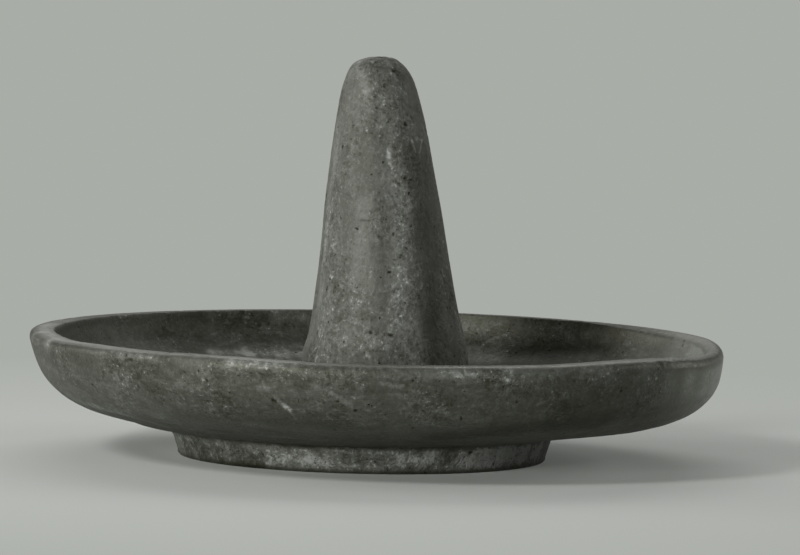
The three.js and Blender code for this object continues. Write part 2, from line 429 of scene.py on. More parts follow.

# %% Stains, worn patches, and painted light and shade
BOWL_STAINS_AND_PAINTED_LIGHT = {
    # The worn front and left lips are paler from wear and from painted light on their rounding, the
    # front one as a painted highlight; below the left lip is painted shade
    "worn front lip, with painted highlight": ((232, 360), (292, 363), 6, 0.95),
    "painted shade below the left lip": ((106, 358), (170, 363), 4.5, -0.35),
    "worn left lip, with painted light": ((38, 332), (48, 340), 8, 0.85),
    # Painted light: the outer right wall is made paler where light from the right falls on it
    "painted light on the right wall": ((650, 376), (690, 380), 13, 0.5),
    "pale foot of the far wall, far right": ((614, 350), (640, 352), 6, 0.22),
    "pale band low inside, left": ((212, 352), (246, 353), 6, 1.25),
    "pale band left of the pestle": ((250, 351), (300, 350), 9, 0.75),
    "pale foot of the far wall, left": ((256, 357), (300, 357), 8, 0.9),
    "paler inside, left": ((190, 339), (300, 342), 17, 0.33),
    "paler inside, far left": ((98, 335), (170, 346), 10, 0.5),
    "pale band low inside, right": ((468, 352), (500, 354), 8, 0.7),
    "pale foot of the far wall, right": ((470, 360), (590, 358), 8, 0.8),
    "dark inside, left": ((165, 321), (250, 318), 6, -0.25),
    "paler inside, left of the pestle": ((276, 313), (304, 318), 6, 0.6),
    "paler inside, right of the pestle": ((468, 324), (518, 328), 14, 0.5),
    # Painted shadow: the pestle's shadow on the far right wall of the hollow is made darker
    "painted shadow of the pestle, inside right": ((588, 332), (614, 340), 10, -0.45),
    "paler low left wall": ((76, 400), (160, 418), 13, 0.45),
    "pale lower left edge": ((84, 403), (166, 427), 5, 0.8),
    "dark left edge": ((52, 350), (110, 360), 9, -0.2),
    "paler second scar": ((312, 386), (346, 396), 8, 0.25),
    "dark middle": ((340, 378), (372, 406), 12, -0.25),
    "dark right of middle": ((495, 391), (545, 391), 8, -0.2),
    "dark right front": ((570, 394), (630, 394), 18, -0.25),
    # Painted shade: the lower wall and the underside, where they turn under, are made darker, most on
    # the right
    "dark left of middle": ((230, 412), (330, 424), 12, -0.3),
    "painted shade under the right": ((440, 438), (600, 424), 13, -0.9),
    "painted shade on the right underside": ((560, 418), (650, 414), 10, -0.3),
    "paler underside, left": ((276, 437), (320, 441), 5, 0.5),
    "dark foot, left": ((190, 452), (254, 461), 11, -0.6),
    "pale foot, left": ((276, 457), (326, 462), 6.5, 0.6),
    # Painted shade: the foot's lowest edge is made darker where it meets the floor
    "painted shade at the foot's edge, left": ((225, 464), (262, 468), 4, -0.5),
    "dark foot, middle": ((350, 456), (385, 462), 6, -0.3),
    "pale foot, right": ((402, 461), (432, 459), 5, 0.75),
    "paler foot, far right": ((470, 457), (538, 450), 10, 1.05),
    "low edge of the foot, right": ((450, 467), (500, 465), 3.5, 0.3),
}
PESTLE_STAINS_AND_PAINTED_LIGHT = {
    "pale crown": ((366, 60), (388, 62), 10, 0.55),
    "grey top": ((368, 60), (388, 60), 5, -0.6),
    "dark crescent": ((364, 65), (398, 70), 3, -0.35),
    "pale shoulder": ((362, 76), (367, 90), 5, 0.45),
    "dark right of shoulder": ((388, 84), (394, 100), 6, -0.15),
    "paler right shoulder": ((406, 90), (414, 125), 8, 0.35),
    # Painted light: a pale strip down the left edge, where light grazes it
    "painted light on the left edge": ((337, 125), (318, 300), 6, 0.3),
    "dark left of middle": ((345, 135), (340, 200), 7, -0.15),
    "smooth pale strip": ((362, 205), (352, 320), 8, 0.35),
    "pale front": ((372, 190), (370, 280), 6, 0.15),
    "pale ridge, upper": ((393, 150), (399, 265), 7, 0.15),
    "pale ridge, lower": ((400, 270), (404, 325), 7.5, 0.45),
    # Painted shade: the side of the pestle turned away from the lamps is made darker down its length
    "painted shade on the flat": ((424, 165), (436, 345), 15, -0.4),
    "painted shade at the foot of the flat": ((434, 318), (440, 352), 12, -0.35),
    "painted shade on the right edge": ((450, 285), (459, 354), 7, -0.2),
    "painted shade at the right foot": ((448, 338), (457, 356), 9, -0.25),
}
# Runs along which the pecking is deep and close
PECKED_RUNS = {
    "left strip": ((334, 180), (329, 355), 6),
    "ridge": ((398, 70), (408, 350), 7),
    "lower front": ((330, 345), (440, 352), 9),
}
print("stains:", len(BOWL_STAINS_AND_PAINTED_LIGHT), "on the bowl,", len(PESTLE_STAINS_AND_PAINTED_LIGHT), "on the pestle")

# %% Find the marks on the stone
# Points stand this share of a mark's half width apart, and this many mm on a pecked run
MARK_SPACING = 0.7
PECKED_SPACING = 3.0
EYE = camera.matrix_world.translation / MM
stones = [BVHTree.FromBMesh(bowl_mesh), BVHTree.FromBMesh(pestle_mesh)]


def on_stone(pixel):
    """The point of the stone that the photograph shows at a pixel, or None beside it."""
    hits = [stone.ray_cast(EYE, ray_through(pixel)) for stone in stones]
    return min((hit for hit in hits if hit[0]), key=lambda hit: hit[3], default=(None,))[0]


def run_between(first, last, spacing):
    """Points of the stone along a run from one pixel to another."""
    steps = max(1, round((Vector(last) - Vector(first)).length * MM_PER_PIXEL / spacing))
    points = [on_stone(Vector(first).lerp(Vector(last), i / steps)) for i in range(steps + 1)]
    return [point for point in points if point]


def placed(marks):
    """Each mark's points on the stone, with its half width, its tone, and its depth if any."""
    return [
        (run_between(first, last, width * MARK_SPACING), width, tone, depth[0] if depth else 0.0)
        for first, last, width, tone, *depth in marks.values()
    ]


bowl_marks, bowl_stains_and_painted_light = placed(BOWL_MARKS), placed(BOWL_STAINS_AND_PAINTED_LIGHT)
pestle_marks, pestle_stains_and_painted_light = placed(PESTLE_MARKS), placed(PESTLE_STAINS_AND_PAINTED_LIGHT)
pecked_runs = [
    (run_between(first, last, PECKED_SPACING), width) for first, last, width in PECKED_RUNS.values()
]
found = bowl_marks + bowl_stains_and_painted_light + pestle_marks + pestle_stains_and_painted_light
print("points found for marks and stains:", sum(len(points) for points, *rest in found))

# %% [markdown]
# ## More points where a mark is small
# The bowl's points are up to 2 mm apart, which is enough for a swell but not for a pit.
# Making the whole mesh finer would cost a lot of memory for plain wall, so only the faces
# round its small marks are divided. The pestle is fine enough all over.

# %% Divide the faces round small marks
REFINED_MARGIN = 1.2
REFINED_CUTS = 2


def tree_of(solid):
    solid.verts.ensure_lookup_table()
    tree = KDTree(len(solid.verts))
    for vertex in solid.verts:
        tree.insert(vertex.co, vertex.index)
    tree.balance()
    return tree


def refine(solid, marks, margin):
    solid.verts.index_update()
    tree = tree_of(solid)
    solid.edges.index_update()
    solid.edges.ensure_lookup_table()
    near = set()
    for points, width, tone, depth in marks:
        for point in points:
            for place, index, distance in tree.find_range(point, width + margin):
                near.update(edge.index for edge in solid.verts[index].link_edges)
    # A fixed order gives the same mesh each run
    edges = [solid.edges[index] for index in sorted(near)]
    bmesh.ops.subdivide_edges(solid, edges=edges, cuts=REFINED_CUTS, use_grid_fill=True)
    solid.verts.index_update()
    solid.normal_update()
    return len(near)


print("edges divided:", refine(bowl_mesh, bowl_marks, REFINED_MARGIN))

# %% [markdown]
# ## Tool marks
# Stone is shaped by pecking, which crushes away small pits, and then by rubbing, which wears
# the ridges between them flat. Large soft unevenness comes from noise, and each peck, pit
# and scar is pressed in one at a time. A displacement texture would do the soft part too,
# but moving the vertices keeps every mark a real shape, and lets the same numbers colour the
# stone: they are kept on the vertices as attributes.

# %% Noise in millimetres
SEED = 11


def wave(place, size, shift=0.0):
    """Smooth noise from 0 to 1 with features of about that size."""
    return 0.5 + 0.5 * noise.noise(place / size + Vector((shift, shift * 1.7, -shift)))


def around(place, stretch):
    """A place whose way round the axis is shortened, so that noise on it runs in rings."""
    ring = Vector((place.x, place.y)).length or 1.0
    return Vector((place.x / ring * stretch, place.y / ring * stretch, place.z + ring * 0.5))


samples = [wave(Vector((x, 0, 0)), 26) for x in range(0, 101, 20)]
print("noise every 20 mm:", [round(sample, 2) for sample in samples])


# %% Dents
def soft(distance, radius):
    """The profile of a dent: 1 in the middle, and 0 with a soft edge at its radius."""
    return (1 - (distance / radius) ** 2) ** 2


def bite(solid, tree, centre, radius, depth, values, amount):
    """Presses one soft-edged dent into the surface, and adds to a value on its vertices."""
    for place, index, distance in tree.find_range(centre, radius):
        share = soft(distance, radius)
        vertex = solid.verts[index]
        vertex.co -= vertex.normal * (depth * share)
        values[index] += amount * share


def pepper(solid, tree, spots, radii, depths, values):
    """Dents of many sizes, the small ones most often."""
    dice = random.Random(SEED + len(spots))
    for spot in spots:
        size = dice.random() ** 2
        depth = between(*depths, size) * dice.uniform(0.4, 1.0)
        bite(solid, tree, spot, between(*radii, size), depth, values, depth / depths[1])


def spots_on(solid, count, chances):
    """Random vertices, kept as often as the chance at each says."""
    dice = random.Random(SEED)
    kept = []
    while len(kept) < count:
        index = dice.randrange(len(chances))
        if dice.random() < chances[index]:
            kept.append(solid.verts[index].co.copy())
    return kept


print("a dent from middle to edge:", [round(soft(i, 4), 2) for i in range(5)])

# %% Scars and stains
# Where a ragged edge lies, in shares of the half width, and how ragged each kind of mark is
EDGE_LOW = 0.6
EDGE_SWING = 1.1
EDGE_REACH = 1.3
STAIN_AND_PAINTED_LIGHT_RAGGED = 0.35
BOWL_MARK_RAGGED = 1.0
PESTLE_MARK_RAGGED = 0.9


def stroke(solid, tree, marks, tones, ragged):
    """Presses and tints each mark once, with an edge that noise makes ragged."""
    for points, width, tone, depth in marks:
        touched = {}
        for point in points:
            for place, index, distance in tree.find_range(point, width * EDGE_REACH):
                noisy = EDGE_LOW + EDGE_SWING * wave(place, width, 5)
                edge = width * between(1, noisy, ragged)
                if distance < edge:
                    share = soft(distance, edge)
                    touched[index] = max(share, touched.get(index, 0.0))
        for index, share in touched.items():
            vertex = solid.verts[index]
            vertex.co -= vertex.normal * (depth * share)
            tones[index] += tone * share


print("a ragged edge runs from", EDGE_LOW, "to", EDGE_REACH, "of a mark's half width")

# %% [markdown]
# ## The bowl's surface
# The wall was rubbed round and round, so its unevenness runs in rings. The lip sags by up to
# 3 mm towards the right end, and in front its top slopes a little outwards. Its inner edge
# is crisp, but hands that picked the bowl up and tipped it have worn the right end down. The
# inside is darkened by use. No turned shape is true to a hand-made bowl, so the underside is
# filled out a little at both ends, and the foot on the left.

# %% Tables round the rim
# (degrees from the front, positive to the left, and millimetres)
RIM_SAG = (
    (-180, 0), (-104, 0.1), (-76, 2.9), (-68, 2.6), (-60, 1.3), (-54, 0.6), (-47, 0.25),
    (-27, 1.2), (8, 1.2), (16, 0.6), (24, 0.05), (33, 0.05), (38, 0.4), (56, 0.45), (65, 0.9),
    (82, 0), (180, 0),
)  # fmt: skip
BELLY = (
    (-180, 0), (-130, 0), (-100, 1.4), (-80, 1.4), (-50, 0),
    (45, 0), (75, 1.6), (105, 1.6), (140, 0), (180, 0),
)  # fmt: skip


def along(table, co):
    """Reads a table round the rim, with a smooth change from one entry to the next."""
    facing = math.degrees(math.atan2(-co.x, -co.y))
    for (start, first), (end, second) in zip(table, table[1:]):
        if facing <= end:
            return between(first, second, smoothstep(facing, start, end))
    return table[-1][1]


def beyond_edge(co):
    """Distance outwards from the inner edge of the lip, as if the rim were a true circle."""
    return math.hypot(co.x, co.y * RIM_HALF_WIDTH / RIM_HALF_DEPTH) - INNER_RADIUS


print("deepest sag:", max(sag for facing, sag in RIM_SAG), "mm")

# %% Sag and wear of the lip
# A pair of numbers is where a change begins and where it is complete, in millimetres
LIP_FALL = math.radians(2)
LIP_FALL_FRONT = (20, 90)
SAG_FADE = (1, 12)
WEAR_DEPTH = 3.6
WEAR_OUT, WEAR_IN, WEAR_DOWN = 9, 12, 14
WEAR_X, WEAR_Y = (105, 150), (-50, -10)
WEAR_OUTWARD, WEAR_DOWNWARD = 0.5, 0.85


def settled(co):
    """The move that takes a point from the drawn rim to the sagging, sloping, worn rim."""
    out, below = beyond_edge(co), RIM_HEIGHT - co.z
    slope = max(0.0, out) * math.tan(LIP_FALL) * smoothstep(-co.y, *LIP_FALL_FRONT)
    drop = (along(RIM_SAG, co) + slope) * fade(below, *SAG_FADE)
    reach = WEAR_OUT if out > 0 else WEAR_IN
    share = max(0.0, 1 - math.hypot(out / reach, below / WEAR_DOWN))
    ends = smoothstep(co.x, *WEAR_X) * smoothstep(co.y, *WEAR_Y)
    worn = WEAR_DEPTH * share * share * ends
    outward = Vector((co.x, co.y, 0)).normalized()
    return outward * (worn * WEAR_OUTWARD) - Vector((0, 0, drop + worn * WEAR_DOWNWARD))


right_edge = Vector((INNER_RADIUS, 0, RIM_HEIGHT))
print("edge of the lip at the right moves by", [round(v, 1) for v in settled(right_edge)], "mm")

# %% Fullness of the underside and the foot
UNDERSIDE_TOP = 50
FACING_UP = 0.1
BELLY_LOW, BELLY_HIGH = (13, 21), (23, 36)
FOOT_FULLNESS = 1.4
COVE_FULLNESS = 1.0
COVE_LOW, COVE_HIGH = (8, 13), (14, 21)
FULL_LEFT = (0.5, 0.95)
FULL_OUT = (-88, -76)


def filled_out(vertex):
    """The move that fills out the underside at both ends, and the foot on the left."""
    co, outward = vertex.co, Vector((vertex.co.x, vertex.co.y, 0)).normalized()
    if vertex.normal.z > FACING_UP or co.z > UNDERSIDE_TOP:
        return Vector()
    down = along(BELLY, co) * smoothstep(co.z, *BELLY_LOW) * fade(co.z, *BELLY_HIGH)
    left = smoothstep(-outward.x, *FULL_LEFT) * smoothstep(beyond_edge(co), *FULL_OUT)
    out = FOOT_FULLNESS + COVE_FULLNESS * smoothstep(co.z, *COVE_LOW)
    out *= fade(co.z, *COVE_HIGH)
    return outward * (out * left) - Vector((0, 0, down))


moved = [filled_out(vertex).length for vertex in bowl_mesh.verts]
print("underside and foot filled out by up to", round(max(moved), 1), "mm")

# %% Tones round the rim, with painted highlight and shade
# (degrees from the front, positive to the left, and tone)
# The tones paint highlight and shade on the lip: paler where light falls on it at the left and the
# ends, darker at the back and right of the front, where they dim its reflections
LIP_TONE_AND_PAINTED_LIGHT = (
    (-180, -0.35), (-150, -0.6), (-136, -1.1), (-122, -0.4), (-106, 0.5), (-78, 0.5),
    (-62, 0), (-46, -0.6), (-34, -1.1), (-8, -1.1), (0, -0.5), (10, -0.1), (18, 0.7),
    (26, 0.1), (34, -0.1), (46, 0.6), (60, 1.1), (90, 1), (125, 0), (150, -0.35),
    (180, -0.35),
)  # fmt: skip
# The rounding below the lip is scuffed pale right of the front
BROW_TONE = (
    (-180, -0.3), (-95, 0.1), (-72, -0.8), (-58, -0.1), (-36, 0.15), (-24, 0.35), (-14, 0.5),
    (-4, 0.3), (8, 0.2), (18, -0.1), (30, 0.05), (41, 0.3), (50, 0.15), (60, -0.15), (72, 0),
    (90, 0.1), (125, -0.3), (180, -0.3),
)  # fmt: skip
lip_tones = [tone for facing, tone in LIP_TONE_AND_PAINTED_LIGHT]
print("tone of the lip from", min(lip_tones), "to", max(lip_tones))

# %% Zones of the bowl
# A tone for each zone, and the millimetres between which each zone sets in
LIP_BELOW, LIP_IN, LIP_OUT = (0.6, 2.4), (-1.5, 0.3), (4.5, 8)
BROW_BELOW = (4, 10)
HANDLED_FRONT, HANDLED_RIGHT = (-40, 60), (132, 158)
INSIDE_TONE = -0.4
# The right of the bowl is painted paler, inside and out: partly wear, and partly painted light where
# the lamps fall on its inner slope and its outer end
RIGHT_WALL_WEAR_AND_LIGHT_TONE, RIGHT_WALL = 0.3, (119, 131)
END_WEAR_AND_LIGHT_TONE = 0.95
END_INSIDE, END_INSIDE_HEIGHT = (140, 168), (33, 48)
END_OUTSIDE, END_OUTSIDE_HEIGHT = (146, 174), (25, 42)
END_LOW_SHARE = 0.7
FOOT_TONE = 0.35
# The underside is painted darker: painted shade under the bowl's overhang
UNDERSIDE_SHADE_TONE, UNDERSIDE_ZONE = -0.45, (UNDERSIDE_HEIGHT + 5, UNDERSIDE_HEIGHT + 20)
# The lowest millimetres are painted darker: painted shade where the foot meets the floor
CONTACT_SHADE_TONE, CONTACT_SHADE_ZONE = -0.9, (0.8, 3.0)
FACING_FLOOR = 0.9


def is_inside(vertex):
    """True on the wall and the floor of the hollow."""
    inwards = vertex.normal.dot(Vector((vertex.co.x, vertex.co.y, 0))) < 0
    in_hollow = beyond_edge(vertex.co) < 1 and vertex.co.z > FLOOR_HEIGHT - 1
    return in_hollow and (inwards or vertex.normal.z > FACING_FLOOR)


def bowl_zones(vertex):
    """Tone and polish: the inside is dark and the underside painted dark as shade; the lip and the
    foot are paler, and the lip carries painted highlight and shade.
    """
    co = vertex.co
    out, below = beyond_edge(co), RIM_HEIGHT - co.z
    top = fade(below, *LIP_BELOW) * smoothstep(out, *LIP_IN)
    outer = smoothstep(out, *LIP_OUT)
    brow = fade(below, *BROW_BELOW) * outer
    tone = along(LIP_TONE_AND_PAINTED_LIGHT, co) * top * (1 - outer) + along(BROW_TONE, co) * brow
    polish = max(top * smoothstep(-co.y, *HANDLED_FRONT), smoothstep(co.x, *HANDLED_RIGHT))
    if is_inside(vertex):
        # Here worn is wear and painted light together, on the right of the hollow
        worn = RIGHT_WALL_WEAR_AND_LIGHT_TONE * smoothstep(co.x, *RIGHT_WALL)
        worn += END_WEAR_AND_LIGHT_TONE * smoothstep(co.x, *END_INSIDE)
        worn *= smoothstep(co.z, *END_INSIDE_HEIGHT)
        return tone + (INSIDE_TONE + worn) * (1 - top), polish
    # The outer right end is painted paler as well, less of it low down
    share = between(END_LOW_SHARE, 1, smoothstep(co.z, *END_OUTSIDE_HEIGHT))
    tone += END_WEAR_AND_LIGHT_TONE * smoothstep(co.x, *END_OUTSIDE) * share * (1 - top)
    foot = fade(co.z, FOOT_HEIGHT, UNDERSIDE_HEIGHT)
    # under marks the painted shade under the bowl
    under = (1 - foot) * fade(co.z, *UNDERSIDE_ZONE)
    # ground marks the painted shade along the foot's lowest edge
    ground = fade(co.z, *CONTACT_SHADE_ZONE)
    return tone + FOOT_TONE * foot + UNDERSIDE_SHADE_TONE * under + CONTACT_SHADE_TONE * ground, polish


bowl_insides = [is_inside(vertex) for vertex in bowl_mesh.verts]
print("inside:", sum(bowl_insides), "of", len(bowl_insides), "vertices")

# %% Unevenness and pecking of the bowl
# (depth, size) of each unevenness in millimetres
SWELL, RIPPLE, RUBBED = (0.45, 62), (0.15, 5), (0.08, 2.2)
# How far noise on the ripple and the rubbing is drawn out round the axis
RIPPLE_RING, RUBBED_RING = 14, 40
ABOVE_GROUND = (0.3, 3.0)
NEAR_LIP = (RIM_HEIGHT - 14, RIM_HEIGHT - 3)
PATCH_SIZES, PATCH_SHARES, PATCH_LEVELS = (26, 9), (0.7, 0.3), (0.42, 0.62)
PECKED_FOOT, PECKED_GROUND = (FOOT_HEIGHT, UNDERSIDE_HEIGHT + 4), (0.5, 3)
HANDLED_SMOOTH = 0.8


def bowl_relief(co):
    wall = smoothstep(co.z, *ABOVE_GROUND) * fade(co.z, *NEAR_LIP)
    swell = SWELL[0] * wave(co, SWELL[1], 3) * wall
    ripple = RIPPLE[0] * wave(around(co, RIPPLE_RING), RIPPLE[1], 7) * wall
    rubbed = RUBBED[0] * wave(around(co, RUBBED_RING), RUBBED[1], 1) * smoothstep(co.z, *ABOVE_GROUND)
    return swell + ripple + rubbed


def bowl_pecking(co):
    """How much of the old pecking is left: in patches, and all over the foot."""
    coarse, fine = wave(co, PATCH_SIZES[0], 9), wave(co, PATCH_SIZES[1], 4)
    patches = smoothstep(coarse * PATCH_SHARES[0] + fine * PATCH_SHARES[1], *PATCH_LEVELS)
    foot = fade(co.z, *PECKED_FOOT)
    left = 1 - HANDLED_SMOOTH * smoothstep(co.x, *HANDLED_RIGHT)
    return max(patches, foot) * smoothstep(co.z, *PECKED_GROUND) * left


front = Vector((0, -RIM_HALF_DEPTH, 40))
print("relief in front:", round(bowl_relief(front), 2), "mm, pecking:", round(bowl_pecking(front), 2))

# %% Work the bowl
BOWL_DENTS = 4200
BOWL_DENT_RADII = (1.8, 3.6)
BOWL_DENT_DEPTHS = (0.05, 0.20)
LOWEST_DENT = 3
LIP_CHIPS = 70
LIP_CHIP_RADII = (1.6, 3.2)
LIP_CHIP_DEPTHS = (0.10, 0.45)
LIP_CHIP_ZONE = 3
# The inner edge of the lip stands further in on the left
LEFT_LIP_EXTRA = 2.2
LEFT_LIP_ZONE = (80, 165)


def reshape_bowl(solid):
    """Moves every point by its sag, wear, fullness and relief. Returns the deepest relief."""
    inner = [vertex for vertex in solid.verts if is_inside(vertex)]
    depths = [bowl_relief(vertex.co) for vertex in solid.verts]
    moves = [settled(vertex.co) + filled_out(vertex) for vertex in solid.verts]
    for vertex, depth, move in zip(solid.verts, depths, moves):
        vertex.co += move - vertex.normal * depth
    for vertex in inner:
        vertex.co.x += LEFT_LIP_EXTRA * smoothstep(-vertex.co.x, *LEFT_LIP_ZONE)
    return max(depths)


def work_bowl(solid):
    solid.verts.ensure_lookup_table()
    zones = [bowl_zones(vertex) for vertex in solid.verts]
    pecking = [bowl_pecking(vertex.co) for vertex in solid.verts]
    tree = tree_of(solid)
    dent_chances = [p if v.co.z > LOWEST_DENT else 0 for p, v in zip(pecking, solid.verts)]
    chip_chances = [float(v.co.z > RIM_HEIGHT - LIP_CHIP_ZONE) for v in solid.verts]
    dents = spots_on(solid, BOWL_DENTS, dent_chances)
    chips = spots_on(solid, LIP_CHIPS, chip_chances)
    deepest = reshape_bowl(solid)
    tones, pits = [zone[0] for zone in zones], [0.0] * len(zones)
    stroke(solid, tree, bowl_stains_and_painted_light, tones, STAIN_AND_PAINTED_LIGHT_RAGGED)
    stroke(solid, tree, bowl_marks, tones, BOWL_MARK_RAGGED)
    pepper(solid, tree, dents, BOWL_DENT_RADII, BOWL_DENT_DEPTHS, pits)
    pepper(solid, tree, chips, LIP_CHIP_RADII, LIP_CHIP_DEPTHS, pits)
    print("bowl: relief up to", round(deepest, 2), "mm,", len(dents), "dents")
    return {"tone": tones, "polish": [zone[1] for zone in zones], "pecking": pecking, "pits": pits}


bowl_values = work_bowl(bowl_mesh)

# %% [markdown]
# ## The pestle's surface
# The pestle was dressed by pecking down its length, which leaves long, slightly flat strips
# with soft ridges between them. A true cone would look lathe-made: the sharpest shade on the
# real one follows the ridge right of its middle. So each strip is cut a little below the
# round, and the pecks lie closest along the ridges.

# %% Flat strips down the pestle
# (where it faces in degrees from the front, half width in degrees, flatness, top in mm)
PESTLE_FLATS = (
    (-54, 27, 0.6, 158),
    (-8, 19, 0.45, 192),
    (30, 20, 0.3, 192),
    (76, 26, 0.3, 180),
    (124, 22, 0.4, 190),
    (168, 22, 0.35, 186),
    (-148, 21, 0.45, 190),
    (-104, 23, 0.1, 176),
)
# The strips' edges wander, in degrees and over millimetres, and each strip fades at its top
FLAT_WANDER, FLAT_WANDER_SIZE = 10, 20
FLAT_FADE = 20


def flattened(co):
    """How far the flat strips are below the true round, in millimetres."""
    across = co.x - (PESTLE_BASE_OFFSET - PESTLE_LEAN * (co.z - PESTLE_FOOT))
    radius, facing = math.hypot(across, co.y), math.degrees(math.atan2(-across, -co.y))
    facing += FLAT_WANDER * (wave(co, FLAT_WANDER_SIZE, 8) - 0.5)
    depth = 0.0
    for middle, half_width, flatness, top in PESTLE_FLATS:
        away = abs((facing - middle + 180) % 360 - 180) / half_width
        if away < 1:
            cut = radius * (1 - math.cos(math.radians(half_width))) * (1 - away * away) ** 1.5
            depth += cut * flatness * fade(co.z, top - FLAT_FADE, top)
    return depth


print("flat strips:", len(PESTLE_FLATS))

# %% Unevenness of the pestle
# The crown's rounding is fuller on a ring about its middle, and the butt on its left
CROWN_FULLNESS, CROWN_MIDDLE, CROWN_RING, CROWN_RING_WIDTH = 0.6, -4, 10, 4
CROWN_ZONE = (PESTLE_TOP - 14, PESTLE_TOP - 4)
BUTT_EXTRA, BUTT_LEFT, BUTT_LOW, BUTT_HIGH = 1.6, (18, 34), (29, 36), (50, 62)
# The very top is worn off a little
TOP_WEAR, TOP_ZONE = 0.15, (PESTLE_TOP - 8, PESTLE_TOP)
# (depth, size) of each unevenness in millimetres, and the seat, which stays flat
PESTLE_SWELL, STROKES = (0.7, 34), (0.24, 7)
STROKE_SQUEEZE = 0.3
SEAT_ZONE = (0.2, 4.0)


def fuller(co):
    """How far the crown's rounding and the left of the butt stand out, in millimetres."""
    ring = math.hypot(co.x - CROWN_MIDDLE, co.y)
    crown = math.exp(-(((ring - CROWN_RING) / CROWN_RING_WIDTH) ** 2)) * smoothstep(co.z, *CROWN_ZONE)
    butt = smoothstep(-co.x, *BUTT_LEFT) * fade(co.z, *BUTT_HIGH) * smoothstep(co.z, *BUTT_LOW)
    return CROWN_FULLNESS * crown + BUTT_EXTRA * butt


def pestle_relief(co):
    standing = smoothstep(co.z - PESTLE_FOOT, *SEAT_ZONE)
    swell = PESTLE_SWELL[0] * (wave(co, PESTLE_SWELL[1], 2) - 0.5)
    drawn_out = Vector((co.x, co.y, co.z * STROKE_SQUEEZE))
    strokes = STROKES[0] * (wave(drawn_out, STROKES[1], 4) - 0.5)
    worn = TOP_WEAR * smoothstep(co.z, *TOP_ZONE)
    return (swell + strokes + flattened(co)) * standing + worn - fuller(co)


front = Vector((0, -FLARE_RADIUS, PESTLE_FOOT + FLARE_HEIGHT))
print("front of the flare: relief", round(pestle_relief(front), 2), "mm")

# %% Work the pestle
PESTLE_DENTS = 11000
PESTLE_DENT_RADII = (0.8, 1.8)
PESTLE_DENT_DEPTHS = (0.04, 0.22)
PESTLE_LOWEST_DENT = PESTLE_FOOT + 5
SMOOTH_STONE_CHANCE = 0.15
STRIP_SIZES, STRIP_SQUEEZE, STRIP_LEVELS = (12, 5), 0.35, (0.42, 0.60)


def pestle_pecking(solid, tree):
    pecking = []
    for vertex in solid.verts:
        co = vertex.co
        coarse = wave(Vector((co.x, co.y, co.z * STRIP_SQUEEZE)), STRIP_SIZES[0], 6)
        strip = coarse * PATCH_SHARES[0] + wave(co, STRIP_SIZES[1], 3) * PATCH_SHARES[1]
        pecking.append(smoothstep(strip, *STRIP_LEVELS))
    for points, width in pecked_runs:
        for point in points:
            for place, index, distance in tree.find_range(point, width):
                pecking[index] = max(pecking[index], 1 - (distance / width) ** 2)
    return pecking


def work_pestle(solid):
    solid.verts.index_update()
    solid.normal_update()
    tree = tree_of(solid)
    pecking = pestle_pecking(solid, tree)
    chances = [
        between(SMOOTH_STONE_CHANCE, 1, p) if v.co.z > PESTLE_LOWEST_DENT else 0
        for p, v in zip(pecking, solid.verts)
    ]
    dents = spots_on(solid, PESTLE_DENTS, chances)
    depths = [pestle_relief(vertex.co) for vertex in solid.verts]
    for vertex, depth in zip(solid.verts, depths):
        vertex.co -= vertex.normal * depth
    tones, pits = [0.0] * len(depths), [0.0] * len(depths)
    stroke(solid, tree, pestle_stains_and_painted_light, tones, STAIN_AND_PAINTED_LIGHT_RAGGED)
    stroke(solid, tree, pestle_marks, tones, PESTLE_MARK_RAGGED)
    pepper(solid, tree, dents, PESTLE_DENT_RADII, PESTLE_DENT_DEPTHS, pits)
    print("pestle: relief up to", round(max(depths), 2), "mm,", len(dents), "dents")
    return {"tone": tones, "polish": [0.0] * len(tones), "pecking": pecking, "pits": pits}


pestle_values = work_pestle(pestle_mesh)


# %% Make the objects
def finish_piece(solid, name, body, node, attributes):
    """Scales a solid to metres and makes it a piece that stands for its construction node."""
    bmesh.ops.scale(solid, vec=(MM, MM, MM), verts=solid.verts[:])
    for face in solid.faces:
        face.smooth = True
    mesh = bpy.data.meshes.new(name)
    solid.to_mesh(mesh)
    solid.free()
    for label, values in attributes.items():
        layer = mesh.attributes.new(label, "FLOAT", "POINT")
        layer.data.foreach_set("value", values)
    piece = bpy.data.objects.new(name, mesh)
    scene.collection.objects.link(piece)
    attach(piece, body)
    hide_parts(node)
    triangles = sum(len(face.vertices) - 2 for face in mesh.polygons)
    print(name, [round(v / MM, 1) for v in piece.dimensions], "mm,", triangles, "triangles")
    return piece


bowl = finish_piece(bowl_mesh, "ground_bowl", "bowl", "footed_bowl", bowl_values)
pestle = finish_piece(
    pestle_mesh, "pecked_pestle", "pestle", "conical_pestle", pestle_values
)

# %% [markdown]
# ## Basalt
# Both pieces are basalt, a dense volcanic rock of grains too small to tell apart, with a few
# pale crystals and dark open pores. Pecked basalt is greyer and rougher, because each blow
# bruises it, and rubbed basalt is darker and takes a dull gloss. A photograph wrapped round
# the form would be quicker, but it would stretch at the foot and the lip. A procedural stone
# is cut from a solid block instead: every pattern is read from Object coordinates, and the
# attributes say where the stone is worn, stained or bruised, and where light and shade are
# painted on it.


# %% Nodes and colours
def linear(colour):
    """An sRGB hex colour as linear red, green, blue and alpha."""
    channels = [int(colour[i : i + 2], 16) / 255 for i in (1, 3, 5)]
    return [c / 12.92 if c <= 0.04045 else ((c + 0.055) / 1.055) ** 2.4 for c in channels] + [1]


def add(tree, kind, inputs=(), **settings):
    """Adds a shader node. An input is a value, a socket, or a node, of which it takes the first
    output."""
    made = tree.nodes.new("ShaderNode" + kind)
    for name, value in settings.items():
        setattr(made, name, value)
    for name, value in dict(inputs).items():
        if isinstance(value, bpy.types.Node):
            value = value.outputs[0]
        if isinstance(value, bpy.types.NodeSocket):
            tree.links.new(value, made.inputs[name])
        else:
            made.inputs[name].default_value = value
    return made


def grains_of(size):
    """The scale of a pattern whose features are that many millimetres across."""
    return 1 / (size * MM)


